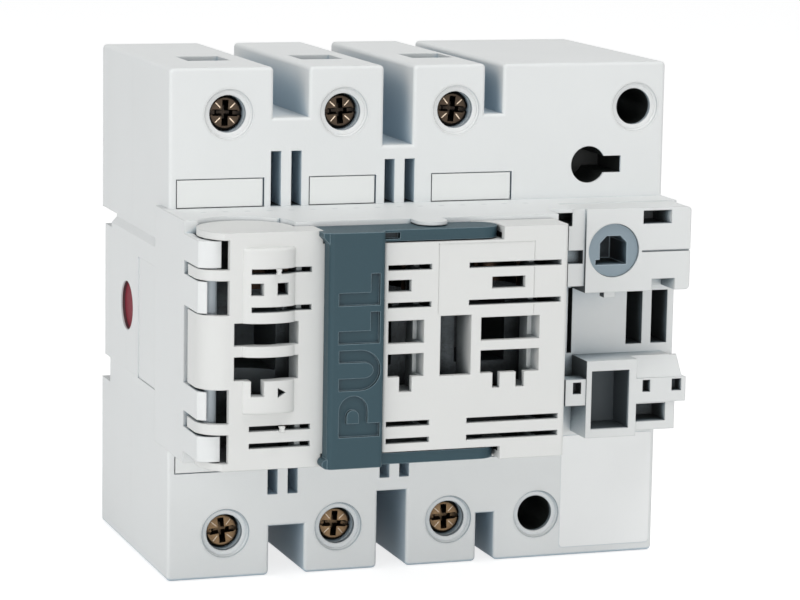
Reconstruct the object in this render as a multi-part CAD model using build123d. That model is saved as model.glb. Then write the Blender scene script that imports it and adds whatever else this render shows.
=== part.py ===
from build123d import *
import math
import os

# Three-pole fuse switch disconnector on a mounting rail, in millimetres.
# Origin: centre of the rail seat. +X right seen from the front, -Y out of the front, +Z up.
# Depths named "out" are measured forward from the front face of the terminal lobes.

# Fuses, poles and the body around them
fuse_radius = 5.15
fuse_length = 38.0
fuse_end_room = 8.0
pole_pitch = 27.0
left_margin = 13.75
coupling_distance = 32.5
right_margin = 19.25
block_half_height = fuse_length / 2 + fuse_end_room
terminal_distance = 21.0
end_margin = 10.5
body_half_width = (left_margin + 2 * pole_pitch + coupling_distance + right_margin) / 2
terminal_z = block_half_height + terminal_distance
body_half_height = terminal_z + end_margin
pole_x = [left_margin - body_half_width + pole_pitch * n for n in range(3)]
coupling_x = body_half_width - right_margin
lobe_front_y = -54.5
parting_y = -21.5
rear_y = 7.5
edge_radius = 1.0
beyond = 200.0

# Raised middle of the left side
side_panel_rise = 1.25
side_panel_top = 17.5
side_panel_bottom = -15.3
side_step_y = -32.0
side_step_top = 13.0
side_step_depth = 0.3
collar_depth = 7.0
flank_x = -body_half_width - side_panel_rise

# Gaps between the terminal lobes (left, right, floor), and the vents in their floors
gap_1 = (pole_x[0] + 10.4, pole_x[1] - 8.2, terminal_z - 1.0)
gap_2 = (pole_x[1] + 9.5, pole_x[2] - 10.4, terminal_z - 7.7)
gap_3 = (pole_x[2] + 7.0, pole_x[2] + 11.4, terminal_z - 1.0)
vent_depth = 16.0
vent_width = 2.4
vent_web = 2.4
vent_tops = [terminal_z - 8.5, terminal_z - 10.9]

# Terminal clamps, their screws and the openings that serve them
clamp_half_width = 5.4
clamp_half_height = 5.5
clamp_front_y = -46.0
clamp_rear_y = -24.0
clamp_wall = 1.4
clamp_nut = 6.0
chamber_clearance = 0.4
driver_hole_radius = 4.2
funnel_radius = 5.95
funnel_depth = 2.5
wire_entry_width = 10.0
wire_entry_depth = 11.0
clamp_head_room = 3.2
screw_head_radius = 4.0
screw_head_height = 2.8
screw_head_depth = 3.3
screw_shank_radius = 2.5
screw_hole_clearance = 0.05
screw_reach = 8.0

# Copper strips and knife contacts
strip_width = 7.0
strip_thickness = 1.2
strip_play = 0.3
strip_slot_middle = fuse_length / 2 - 5.4
strip_slot_low = strip_slot_middle - strip_thickness / 2 - strip_play
strip_slot_high = strip_slot_middle + strip_thickness / 2 + strip_play
chamber_half_width = strip_width / 2 + strip_play
chamber_front_y = -52.0
chamber_half_height = terminal_z - clamp_half_height
load_strip_rise = 3.0
riser_setback = 5.0
strip_end_z = terminal_z + clamp_half_height - strip_thickness / 2
jaw_leaf = 1.0
jaw_gap = 0.3
blade_thickness = 2.4
blade_width = 5.0
blade_half_length = 12.0
sweep_clearance = 0.4

# Contact rotor
rotor_radius = 4.7
rotor_clearance = 0.05
rotor_disc_radius = 5.7
rotor_disc_thickness = 3.0
rotor_inset = 1.0
rotor_end_x = coupling_x - 8.5
crank_radius = 7.0
crank_disc_radius = 10.0
crank_disc_thickness = 3.0
crank_pin_radius = 1.5
linkage_play = 0.35
half_throw = 45.0

# Coupling that takes the operating shaft
coupling_z = block_half_height - 9.9
coupling_radius = 6.1
coupling_length = 8.0
coupling_recess = 0.5
socket_size = 6.6
socket_corner = 1.6
socket_depth = 10.0
drive_shaft_radius = 5.0
drive_disc_radius = 9.5
drive_disc_front_y = -44.0
drive_disc_thickness = 3.0
yoke_thickness = 2.0
yoke_gap = 0.5
yoke_foot = 5.0
yoke_head = 4.5

# Mechanism chamber behind the coupling
mechanism_left_room = 15.0
mechanism_right_room = 16.0
mechanism_foot_room = 5.0
mechanism_head_room = 3.4
mechanism_left = coupling_x - mechanism_left_room
mechanism_right = coupling_x + mechanism_right_room
mechanism_bottom = -crank_disc_radius - mechanism_foot_room
mechanism_top = coupling_z + drive_disc_radius + mechanism_head_room
mechanism_rear_y = -10.5

# Round seat and hinge at the left end of the fuse door
hinge_x = flank_x + 3.6
hinge_out = 26.2
hinge_bar_radius = 1.5
hinge_clearance = 0.08
hook_radius = 4.75
hook_flank = 1.8
hook_sweep = hook_radius + 0.75
hook_long_x = flank_x + 4.8
hook_short_x = flank_x + hook_flank
hook_end_z = block_half_height - 2.8
hook_rows = [(18.35, hook_end_z, hook_long_x), (8.45, 15.4, hook_short_x),
             (-15.0, -8.75, hook_short_x), (-hook_end_z, -18.6, hook_long_x)]
seat_x = hinge_x + 8.4
seat_out = 24.5
seat_radius = 10.7
seat_clearance = 0.4

# Fuse door, and the pull handle that lies across it
door_gap = 0.3
door_wall = 1.6
door_right = pole_x[2] + 14.4
door_half_height = block_half_height - 0.9
door_front_out = 35.0
door_left_front_out = 32.6
door_left_edge = hinge_x + 2.6
handle_left = pole_x[1] - 14.6
handle_right = pole_x[1] - 1.9
handle_front_out = 37.0
handle_half_height = door_half_height - 0.1
handle_flare = 1.3
handle_flare_height = 3.0
handle_stub_radius = 1.1
arm_thickness = 2.5
arm_half_depth = 4.2
pivot_x = pole_x[2] - 5.4
pivot_out = 30.2
pivot_radius = 2.0
pivot_length = 1.3
pivot_clearance = 0.06
door_step_x = handle_right + door_gap
bulge_half_width = 5.9
bulge_rise = 1.9
bulge_top = door_half_height - 3.3
bulge_bottom = 12.5 - door_half_height
channel_half_width = 6.9
channel_wall = 1.2
knuckle_half_height = 8.15
band_bottom = 15.7
band_top = 18.05
knuckle_back_out = 21.3
fuse_out = 26.0
clip_length = 6.2
clip_mouth = 2.6
clip_foot_half_width = 2.5
cradle_thickness = 1.2

# Slots and windows of the door: left and right measured from the pole, then bottom and top
door_slot_rows = [(17.1, 18.3), (8.8, 10.0), (-17.6, -16.4), (-21.4, -20.2)]
door_slot_ends = [(-4.2, 9.7), (-0.7, 9.4), (-8.9, 12.8)]
door_windows_1 = [(-4.3, -1.6, 12.5, 15.2), (1.4, 4.0, 12.5, 15.2), (-7.7, 6.8, 1.4, 6.4),
                  (-7.7, 6.8, -6.2, -1.0), (-4.2, -1.4, -9.6, -6.0)]
door_windows_2 = [(-0.6, 4.7, 12.4, 15.0), (-0.5, 7.8, 0.9, 6.0), (-0.5, 7.8, -6.5, -1.4),
                  (2.2, 5.1, -9.9, -6.3), (11.6, 18.8, -6.7, 6.7)]
door_windows_3 = [(-3.5, 4.3, 12.4, 15.0), (-5.9, 7.9, 0.8, 6.0), (-5.9, 7.9, -6.5, -1.4),
                  (-3.0, -1.3, -9.9, -6.3), (2.5, 4.5, -9.9, -6.3)]
door_arrow = [(1.7, -7.8), (1.7, -10.0), (3.6, -8.9)]

# Central block that carries the fuse bay
bay_floor_out = 18.0
bay_rim_out = 25.0
bay_left = seat_x + seat_radius
bay_right = door_right + 1.4
bay_half_height = block_half_height - 2.4
mechanism_face_out = 8.6
pocket_half_width = 6.0
pocket_half_height = 7.0
pocket_back_out = 1.0
barrier_thickness = 1.6
nose_x = pole_x[2] - 15.65
nose_radius = 3.65

# Marker plates: their ends measured from the pole
marker_thickness = 1.0
marker_top = block_half_height + 6.4
marker_clearance = 0.2
marker_ends = [(-11.9, 8.0), (-7.9, 7.5), (-5.6, 13.5)]
markers = [(x + left, x + right) for x, (left, right) in zip(pole_x, marker_ends)]

# Mechanism plate and auxiliary block
plate_left = coupling_x - 10.9
plate_right = body_half_width - 0.25
plate_bottom = coupling_z - 9.6
plate_top = block_half_height - 0.2
plate_out = 17.8
plate_step_x = plate_left + 4.0
plate_step = 0.8
roof_right = plate_left + 0.8
roof_thickness = 0.9
aux_top = -8.4
aux_bottom = -26.4
aux_socket_left = coupling_x - 4.6
aux_socket_right = coupling_x + 4.7
aux_socket_top = -10.8
aux_socket_bottom = -24.4
aux_frame = 1.3

# Panel fixing bores, keyhole and the screws that hold the two halves together
fixing_bores = [(body_half_width - 7.45, terminal_z), (pole_x[2] + 22.0, -terminal_z)]
fixing_radius = 2.6
fixing_wall = 6.0
keyhole_x = coupling_x + 0.4
keyhole_z = block_half_height + 7.7
keyhole_radius = 4.3
keyhole_notch_end = keyhole_x + 8.1
keyhole_notch_height = 3.9
keyhole_depth = 14.0
gap_screw_x = (gap_1[0] + gap_1[1]) / 2
gap_screw_z = gap_1[2] - 3.5
housing_screw_places = [(gap_screw_x, gap_screw_z), (gap_screw_x, -gap_screw_z),
                        (pole_x[2] + 18.0, terminal_z - 8.0), (coupling_x + 5.5, 8.0 - terminal_z)]

# Rail seat, hooks and latch
rail_top = 16.4
rail_bottom = -22.2
rail_slit_top = 19.5
rail_slit_depth = 14.0
seat_pad_half_width = 50.0
seat_pad_half_height = 14.0
seat_pad_rise = 0.4
rail_flange = 1.0
rail_play = 0.4
hook_thickness = 3.0
hook_drop = 4.8
hook_spans = [(-48.0, -28.0), (28.0, 48.0)]
latch_left = -25.0
latch_right = -12.0
latch_thickness = 3.0
latch_nose = 7.4
latch_tail = body_half_height - 1.0
latch_clearance = 0.3
latch_spring_radius = 2.6
latch_window_low = rail_bottom - 21.8
latch_window_length = 10.0
latch_window_rise = 4.0


def out(distance):
    """Y of a point that lies this far in front of the lobes."""
    return lobe_front_y - distance


def block(x0, x1, y0, y1, z0, z1):
    """A box between two corners, given in any order."""
    centre = ((x0 + x1) / 2, (y0 + y1) / 2, (z0 + z1) / 2)
    return Pos(*centre) * Box(abs(x1 - x0), abs(y1 - y0), abs(z1 - z0))


def rod_x(radius, x0, x1, y, z):
    return Pos((x0 + x1) / 2, y, z) * Rot(0, 90, 0) * Cylinder(radius, abs(x1 - x0))


def rod_y(radius, x, y0, y1, z):
    return Pos(x, (y0 + y1) / 2, z) * Rot(90, 0, 0) * Cylinder(radius, abs(y1 - y0))


def rod_z(radius, x, y, z0, z1):
    return Pos(x, y, (z0 + z1) / 2) * Cylinder(radius, abs(z1 - z0))


def funnel_y(radius_front, radius_back, x, y_front, y_back, z):
    """A cone along Y whose front end has radius_front."""
    cone = Cone(radius_front, radius_back, abs(y_back - y_front))
    return Pos(x, (y_front + y_back) / 2, z) * Rot(-90, 0, 0) * cone


def upright_prism(points, z0, z1):
    """A prism along Z over an outline of (x, y) points."""
    face = make_face(Polyline(*[(x, y, z0) for x, y in points], close=True))
    return extrude(face, amount=z1 - z0, dir=(0, 0, 1))


def strip(x, points):
    """A flat copper strip, bent along Y and Z through the given points of its middle line."""
    half = strip_thickness / 2
    runs = []
    for (y0, z0), (y1, z1) in zip(points, points[1:]):
        runs.append(block(x - strip_width / 2, x + strip_width / 2,
                          min(y0, y1) - half, max(y0, y1) + half,
                          min(z0, z1) - half, max(z0, z1) + half))
    return fuse(runs)


def fuse(shapes):
    total = shapes[0]
    for shape in shapes[1:]:
        total = total + shape
    return total


def body_outline():
    """Front view of the body: a rectangle with the gaps between the terminal lobes."""
    outline = Rectangle(2 * body_half_width, 2 * body_half_height)
    for left, right, floor in (gap_1, gap_2, gap_3):
        tall = body_half_height - floor + 1
        for side in (1, -1):
            middle = side * (floor + tall / 2)
            outline -= Pos((left + right) / 2, middle) * Rectangle(right - left, tall)
    return outline


def body_slab(y_front, y_back, rounded_front):
    """The body outline run from y_front back to y_back."""
    plane = Plane(origin=(0, y_back, 0), x_dir=(1, 0, 0), z_dir=(0, -1, 0))
    slab = extrude(plane * body_outline(), amount=y_back - y_front)
    corner_edges = slab.edges().filter_by(Axis.Y)
    corner_edges = corner_edges.filter_by(lambda edge: abs(abs(edge.center().Z) - body_half_height) < 0.01)
    slab = fillet(corner_edges, edge_radius)
    if rounded_front:
        slab = fillet(slab.faces().sort_by(Axis.Y)[0].edges(), edge_radius * 0.8)
    return slab


def side_panel(y_front, y_back):
    """Raised middle of the left side, with a sloped shoulder at its top and bottom."""
    inner = -body_half_width + 1
    outer = flank_x
    low = side_panel_bottom
    high = side_panel_top
    section = make_face(Polyline((inner, y_front, low - side_panel_rise), (outer, y_front, low),
                                 (outer, y_front, high), (inner, y_front, high + 2 * side_panel_rise),
                                 close=True))
    return extrude(section, amount=y_back - y_front, dir=(0, 1, 0))


def rotor_space(y_front, y_back):
    """Everything that is hollow round the rotor, its contacts and the mechanism."""
    shapes = [rod_x(rotor_radius + rotor_clearance, -body_half_width, rotor_end_x, parting_y, 0)]
    disc_inner = flank_x + rotor_inset + rotor_disc_thickness + chamber_clearance
    shapes.append(rod_x(rotor_disc_radius + rotor_clearance, flank_x - 1, disc_inner, parting_y, 0))
    half_sweep = math.hypot(blade_half_length, blade_width / 2) + sweep_clearance
    for x in pole_x:
        shapes.append(block(x - chamber_half_width, x + chamber_half_width,
                            parting_y - half_sweep, parting_y + half_sweep, -half_sweep - 2, half_sweep + 2))
    shapes.append(block(mechanism_left, mechanism_right, chamber_front_y, mechanism_rear_y,
                        mechanism_bottom, mechanism_top))
    room = block(-beyond, beyond, y_front, y_back, -beyond, beyond)
    return [shape & room for shape in shapes]


def make_rear_housing():
    """Rear half of the casing, with the rail channel across its back."""
    shell = body_slab(parting_y, rear_y, False)
    shell += side_panel(parting_y, 0)
    shell -= block(-beyond, beyond, -seat_pad_rise, rear_y + 1, rail_bottom, rail_top)
    shell -= block(-beyond, beyond, rear_y - rail_slit_depth, rear_y + 1, rail_top - 0.01, rail_slit_top)
    shell += block(-seat_pad_half_width, seat_pad_half_width, -seat_pad_rise - 1, 0,
                   -seat_pad_half_height, seat_pad_half_height)
    hook_y = rail_flange + rail_play
    for left, right in hook_spans:
        shell += block(left, right, hook_y, hook_y + hook_thickness,
                       rail_slit_top - hook_drop, rail_slit_top + 1)
    shell -= latch_space()
    for hollow in rotor_space(parting_y, rear_y):
        shell -= hollow
    for x, z in fixing_bores:
        shell -= rod_y(fixing_radius, x, parting_y - 1, rear_y + 1, z)
        shell -= rod_y(driver_hole_radius, x, parting_y - 1, rear_y - fixing_wall, z)
    for x, z in housing_screw_places:
        shell -= rod_y(1.5, x, parting_y - 1, rear_y + 1, z)
        shell -= rod_y(3.0, x, rear_y - 8, rear_y + 1, z)
    return shell


def latch_space():
    """Slot that guides the rail latch, open at the back and at the bottom."""
    y_front = rail_flange + rail_play - latch_clearance
    y_back = rail_flange + rail_play + latch_thickness + latch_clearance
    slot = block(latch_left - latch_clearance, latch_right + latch_clearance, y_front, y_back,
                 -body_half_height - 1, rail_bottom + 1)
    middle = (latch_left + latch_right) / 2
    spring_room = block(middle - latch_spring_radius - 0.8, middle + latch_spring_radius + 0.8,
                        y_front - 2.5, y_back, latch_window_low,
                        latch_window_low + latch_window_length + latch_window_rise)
    return slot + spring_room


def make_front_housing():
    """Front half of the casing: terminal lobes, central block with the fuse bay, hinge hooks."""
    shell = body_slab(lobe_front_y, parting_y, True)
    shell += side_panel(out(bay_floor_out), parting_y)
    shell -= block(flank_x - 1, flank_x + side_step_depth, lobe_front_y + collar_depth, side_step_y,
                   side_panel_bottom, side_step_top)
    shell += block(-body_half_width, seat_x + seat_radius, out(bay_floor_out), lobe_front_y + 1,
                   -block_half_height, block_half_height)
    shell += block(flank_x, -body_half_width + 1, out(bay_floor_out), lobe_front_y + collar_depth,
                   -block_half_height, block_half_height)
    shell += block(bay_left - 1, bay_right, out(bay_rim_out), lobe_front_y + 1,
                   -block_half_height, block_half_height)
    shell += block(bay_right - 1, body_half_width, out(mechanism_face_out), lobe_front_y + 1,
                   -block_half_height, block_half_height)
    shell += block(bay_right - 1, roof_right - door_gap, out(plate_out), lobe_front_y + 1,
                   block_half_height - roof_thickness, block_half_height)
    shell -= rod_z(seat_radius + seat_clearance, seat_x, out(seat_out), -beyond, beyond)
    shell -= block(bay_left - 2, bay_right - 2, out(bay_floor_out), out(bay_rim_out + 1),
                   -bay_half_height, bay_half_height)
    shell += bay_barriers()
    for x in pole_x:
        shell -= block(x - pocket_half_width, x + pocket_half_width, out(pocket_back_out),
                       out(bay_rim_out + 1), -pocket_half_height, pocket_half_height)
        for low, high in ((strip_slot_low, strip_slot_high), (-strip_slot_high, -strip_slot_low)):
            shell -= block(x - strip_width / 2 - strip_play, x + strip_width / 2 + strip_play,
                           chamber_front_y + 1, out(bay_floor_out + 1), low, high)
        shell -= block(x - chamber_half_width, x + chamber_half_width, chamber_front_y, parting_y,
                       -chamber_half_height, chamber_half_height)
        for side in (1, -1):
            shell -= terminal_space(x, side)
    for hollow in rotor_space(chamber_front_y, parting_y):
        shell -= hollow
    shell -= vent_slots()
    shell -= marker_pockets()
    for low, high, end_x in hook_rows:
        shell += hinge_hook(low, high, end_x)
    shell += handle_nose()
    shell -= front_holes()
    for x, z in housing_screw_places:
        shell -= rod_y(1.2, x, lobe_front_y + 8, parting_y + 1, z)
    return shell


def bay_barriers():
    """Walls between the poles, on the floor of the fuse bay."""
    walls = []
    for x in pole_x[:2]:
        middle = x + pole_pitch / 2
        walls.append(block(middle - barrier_thickness / 2, middle + barrier_thickness / 2,
                           out(bay_floor_out - 1), out(bay_rim_out - 0.5),
                           -bay_half_height - 1, bay_half_height + 1))
    return fuse(walls)


def terminal_space(x, side):
    """Room for one terminal: clamp chamber, driver hole with its funnel, and wire entry."""
    half = clamp_half_width + chamber_clearance
    z_low = terminal_z - clamp_half_height - chamber_clearance
    z_high = terminal_z + clamp_half_height + chamber_clearance
    wire_y = clamp_rear_y - clamp_wall - strip_thickness
    room = block(x - half, x + half, clamp_front_y - clamp_head_room, parting_y,
                 side * z_low, side * z_high)
    room += rod_y(driver_hole_radius, x, lobe_front_y - 1, clamp_front_y, side * terminal_z)
    room += funnel_y(funnel_radius, driver_hole_radius, x, lobe_front_y, lobe_front_y + funnel_depth,
                     side * terminal_z)
    room += block(x - wire_entry_width / 2, x + wire_entry_width / 2, wire_y - wire_entry_depth, wire_y,
                  side * terminal_z, side * (body_half_height + 1))
    return room


def vent_slots():
    slots = []
    for x, top in zip(pole_x, vent_tops):
        middle = x + pole_pitch / 2
        for left in (middle - vent_web / 2 - vent_width, middle + vent_web / 2):
            for side in (1, -1):
                slots.append(block(left, left + vent_width, lobe_front_y - 0.5, lobe_front_y + vent_depth,
                                   side * block_half_height, side * top))
    return fuse(slots)


def marker_pockets():
    pockets = []
    for left, right in markers:
        for side in (1, -1):
            pockets.append(block(left - marker_clearance, right + 2 * marker_clearance, lobe_front_y - 1,
                                 lobe_front_y + marker_thickness + 0.1, side * block_half_height,
                                 side * (marker_top + marker_clearance)))
    return fuse(pockets)


def hinge_hook(low, high, end_x):
    """One fixed hook of the door hinge: a post on the left flank that curls over the hinge bar."""
    y = out(hinge_out)
    curl = rod_z(hook_radius, hinge_x, y, low, high)
    curl &= block(flank_x, end_x, y + hook_radius, y - hook_radius - 1, low, high)
    post = block(flank_x, flank_x + hook_flank, out(bay_floor_out) + 2, y, low, high)
    rear_cut = block(flank_x + hook_flank, hinge_x + hook_radius, y, y + hook_radius + 1, low, high)
    hook = curl - rear_cut + post
    return hook - rod_z(hinge_bar_radius + hinge_clearance, hinge_x, y, low - 1, high + 1)


def handle_nose():
    """Rounded nose on the rim that keeps the arm of the handle down."""
    low = door_half_height + door_gap / 2
    nose = block(nose_x - nose_radius, nose_x + nose_radius, out(bay_rim_out - 2), out(bay_rim_out + 3),
                 low, block_half_height)
    return nose + rod_z(nose_radius, nose_x, out(bay_rim_out + 3), low, block_half_height)


def front_holes():
    """Fixing bores, keyhole, and the tall slots and the slit in the mechanism face."""
    cuts = []
    for x, z in fixing_bores:
        cuts.append(rod_y(driver_hole_radius, x, lobe_front_y - 1, parting_y + 1, z))
        cuts.append(funnel_y(funnel_radius, driver_hole_radius, x, lobe_front_y,
                             lobe_front_y + funnel_depth, z))
    cuts.append(rod_y(keyhole_radius, keyhole_x, lobe_front_y - 1, lobe_front_y + keyhole_depth, keyhole_z))
    cuts.append(block(keyhole_x, keyhole_notch_end, lobe_front_y - 1, lobe_front_y + keyhole_depth,
                      keyhole_z - keyhole_notch_height / 2, keyhole_z + keyhole_notch_height / 2))
    for left in (coupling_x + 7.4, coupling_x + 13.7):
        cuts.append(block(left, left + 4.0, out(mechanism_face_out + 1), lobe_front_y + 0.5, -6.5, 6.0))
    cuts.append(block(coupling_x - 7.3, coupling_x - 6.2, out(mechanism_face_out + 1), chamber_front_y + 1,
                      aux_top + 0.4, plate_bottom - 0.2))
    cuts.append(rod_y(drive_shaft_radius + 0.1, coupling_x, out(mechanism_face_out + 1),
                      chamber_front_y + 1, coupling_z))
    return fuse(cuts)


def make_marker(left, right, side):
    return block(left, right, lobe_front_y, lobe_front_y + marker_thickness,
                 side * (block_half_height + marker_clearance), side * marker_top)


def make_clamp(x, side):
    """Cage clamp: a frame with a thick threaded front wall, open from top to bottom for the wire."""
    z0 = side * (terminal_z - clamp_half_height)
    z1 = side * (terminal_z + clamp_half_height)
    cage = block(x - clamp_half_width, x + clamp_half_width, clamp_front_y, clamp_rear_y, z0, z1)
    cage -= block(x - clamp_half_width + clamp_wall, x + clamp_half_width - clamp_wall,
                  clamp_front_y + clamp_nut, clamp_rear_y - clamp_wall, z0 - side, z1 + side)
    return cage - rod_y(screw_shank_radius + screw_hole_clearance, x, clamp_front_y - 1,
                        clamp_front_y + clamp_nut + 1, side * terminal_z)


def make_terminal_screw(x, side):
    """Screw that stays at its height in the driver hole and pulls the clamp up its thread."""
    z = side * terminal_z
    front_y = lobe_front_y + screw_head_depth
    seat_y = front_y + screw_head_height
    screw = rod_y(screw_head_radius, x, front_y, seat_y, z)
    screw += rod_y(screw_shank_radius, x, seat_y - 1, clamp_front_y + screw_reach, z)
    for half_across, half_up in ((0.6, 2.6), (2.6, 0.6)):
        screw -= block(x - half_across, x + half_across, front_y - 1, front_y + 1.2, z - half_up, z + half_up)
    return screw


def contact_jaw(x, side):
    """Two leaves, one on each side of the blade, joined by a bridge beyond its tip."""
    inner = blade_thickness / 2 + jaw_gap
    reach = math.hypot(blade_half_length, blade_width / 2) + sweep_clearance
    y0 = parting_y - blade_width / 2
    y1 = parting_y + blade_width / 2
    z0 = side * (blade_half_length - 4)
    z1 = side * reach
    leaves = block(x - inner - jaw_leaf, x - inner, y0, y1, z0, z1)
    leaves += block(x + inner, x + inner + jaw_leaf, y0, y1, z0, z1)
    return leaves, reach


def make_line_contact(x):
    """Strip from the upper clamp down to the jaw above the rotor."""
    leaves, reach = contact_jaw(x, 1)
    bar_y = clamp_rear_y - clamp_wall - strip_thickness / 2
    bridge_z = reach + strip_thickness / 2
    return leaves + strip(x, [(bar_y, strip_end_z), (bar_y, bridge_z),
                              (parting_y + blade_width / 2 - strip_thickness / 2, bridge_z)])


def fuse_clip(x, side):
    """C-shaped spring clip for a fuse cap, open to the front, on a foot."""
    y = out(fuse_out)
    inner = fuse_radius + 0.1
    outer = inner + 0.8
    z0 = side * (fuse_length / 2 - clip_length - 1)
    z1 = side * (fuse_length / 2 - 1)
    low = min(z0, z1)
    high = max(z0, z1)
    ring = rod_z(outer, x, y, low, high) - rod_z(inner, x, y, low - 1, high + 1)
    ring -= block(x - outer, x + outer, y - clip_mouth, y - outer - 1, low - 1, high + 1)
    foot = block(x - clip_foot_half_width, x + clip_foot_half_width, out(bay_floor_out), y + outer - 0.4,
                 low, high)
    return ring + foot


def make_fuse_contact(x):
    """Strip from the jaw below the rotor to the upper fuse clip."""
    leaves, reach = contact_jaw(x, -1)
    bridge_z = -reach - strip_thickness / 2
    riser_y = chamber_front_y + riser_setback
    return leaves + fuse_clip(x, 1) + strip(x, [(parting_y + blade_width / 2 - strip_thickness / 2, bridge_z),
                                                (riser_y, bridge_z), (riser_y, strip_slot_middle),
                                                (out(bay_floor_out) - 0.6, strip_slot_middle)])


def make_load_contact(x):
    """Strip from the lower fuse clip to the lower clamp."""
    front_y = chamber_front_y + strip_thickness / 2 + 0.3
    bar_y = clamp_rear_y - clamp_wall - strip_thickness / 2
    turn_z = -chamber_half_height + load_strip_rise
    return fuse_clip(x, -1) + strip(x, [(out(bay_floor_out) - 0.6, -strip_slot_middle),
                                        (front_y, -strip_slot_middle), (front_y, turn_z), (bar_y, turn_z),
                                        (bar_y, -strip_end_z)])


def crank_pin_place(angle):
    """Offset of a crank pin from its axis: across, and along Z."""
    return crank_radius * math.cos(math.radians(angle)), crank_radius * math.sin(math.radians(angle))


def make_rotor():
    """One moulding: end disc seen from the left, barrel with slots for the blades, crank at the right."""
    left = flank_x + rotor_inset
    barrel = rod_x(rotor_radius, left, rotor_end_x, parting_y, 0)
    barrel += rod_x(rotor_disc_radius, left, left + rotor_disc_thickness, parting_y, 0)
    for x in pole_x:
        barrel -= block(x - blade_thickness / 2, x + blade_thickness / 2, parting_y - rotor_radius - 1,
                        parting_y + rotor_radius + 1, -blade_width / 2, blade_width / 2)
    crank = rod_x(crank_disc_radius, rotor_end_x - 0.5, rotor_end_x + crank_disc_thickness, parting_y, 0)
    across, along = crank_pin_place(half_throw)
    pin_end = rotor_end_x + crank_disc_thickness + yoke_gap + yoke_thickness
    pin = rod_x(crank_pin_radius, rotor_end_x + 1, pin_end, parting_y - across, along)
    return barrel + crank + pin


def make_moving_contact(x):
    return block(x - blade_thickness / 2, x + blade_thickness / 2, parting_y - blade_half_length,
                 parting_y + blade_half_length, -blade_width / 2, blade_width / 2)


def make_coupling():
    """Round coupling seen from the front, with the socket for the operating shaft."""
    front_y = out(plate_out) + coupling_recess
    disc = rod_y(coupling_radius, coupling_x, front_y, front_y + coupling_length, coupling_z)
    shaft = rod_y(drive_shaft_radius, coupling_x, front_y + 1, drive_disc_front_y, coupling_z)
    half = socket_size / 2
    socket = block(coupling_x - half, coupling_x + half, front_y - 1, front_y + socket_depth,
                   coupling_z - half, coupling_z + half)
    socket = chamfer(socket.edges().filter_by(Axis.Y).sort_by(Axis.Z)[2:], socket_corner)
    notch = block(coupling_x - half - 1.0, coupling_x - half + 1.2, front_y - 1, front_y + socket_depth,
                  coupling_z - half, coupling_z - half + 1.2)
    return disc + shaft - socket - notch


def make_drive_crank():
    """Disc behind the coupling whose pin moves the yoke."""
    back_y = drive_disc_front_y + drive_disc_thickness
    disc = rod_y(drive_disc_radius, coupling_x, drive_disc_front_y, back_y, coupling_z)
    across, along = crank_pin_place(half_throw)
    return disc + rod_y(crank_pin_radius, coupling_x + across, back_y - 1, back_y + yoke_gap + yoke_thickness,
                        coupling_z + along)


def make_yoke():
    """Sliding link between the drive crank and the rotor crank: it moves along Z."""
    across, along = crank_pin_place(half_throw)
    y0 = drive_disc_front_y + drive_disc_thickness + yoke_gap
    y1 = y0 + yoke_thickness
    x0 = rotor_end_x + crank_disc_thickness + yoke_gap
    x1 = x0 + yoke_thickness
    pin_room = crank_pin_radius + linkage_play
    upper_z = coupling_z + along
    plate = block(x0, coupling_x + crank_radius + yoke_head, y0, y1, along - yoke_foot, upper_z + yoke_head)
    plate -= block(coupling_x + across - pin_room, coupling_x + crank_radius + pin_room, y0 - 1, y1 + 1,
                   upper_z - pin_room, upper_z + pin_room)
    arm = block(x0, x1, y0, parting_y - across + yoke_head, along - yoke_foot, along + yoke_foot)
    arm -= block(x0 - 1, x1 + 1, parting_y - crank_radius - pin_room, parting_y - across + pin_room,
                 along - pin_room, along + pin_room)
    return plate + arm


def door_shell():
    """Open-backed box of the door, with the lower left part and the step under the handle."""
    y_back = out(bay_rim_out) - door_gap
    box = block(door_step_x, door_right, y_back, out(door_front_out), -door_half_height, door_half_height)
    box += block(door_left_edge, door_step_x + 1, y_back, out(door_left_front_out),
                 -door_half_height, door_half_height)
    box = fillet(box.edges().filter_by(Axis.Z).filter_by(
        lambda edge: edge.center().Y < out(door_front_out) + 0.1), 0.8)
    hollow = block(door_step_x + door_wall, door_right - door_wall, y_back + 1,
                   out(door_front_out - door_wall),
                   -door_half_height + door_wall, door_half_height - door_wall)
    hollow += block(door_left_edge - 1, door_step_x + door_wall + 1, y_back + 1,
                    out(door_left_front_out - door_wall),
                    -door_half_height + door_wall, door_half_height - door_wall)
    return box - hollow


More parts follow.
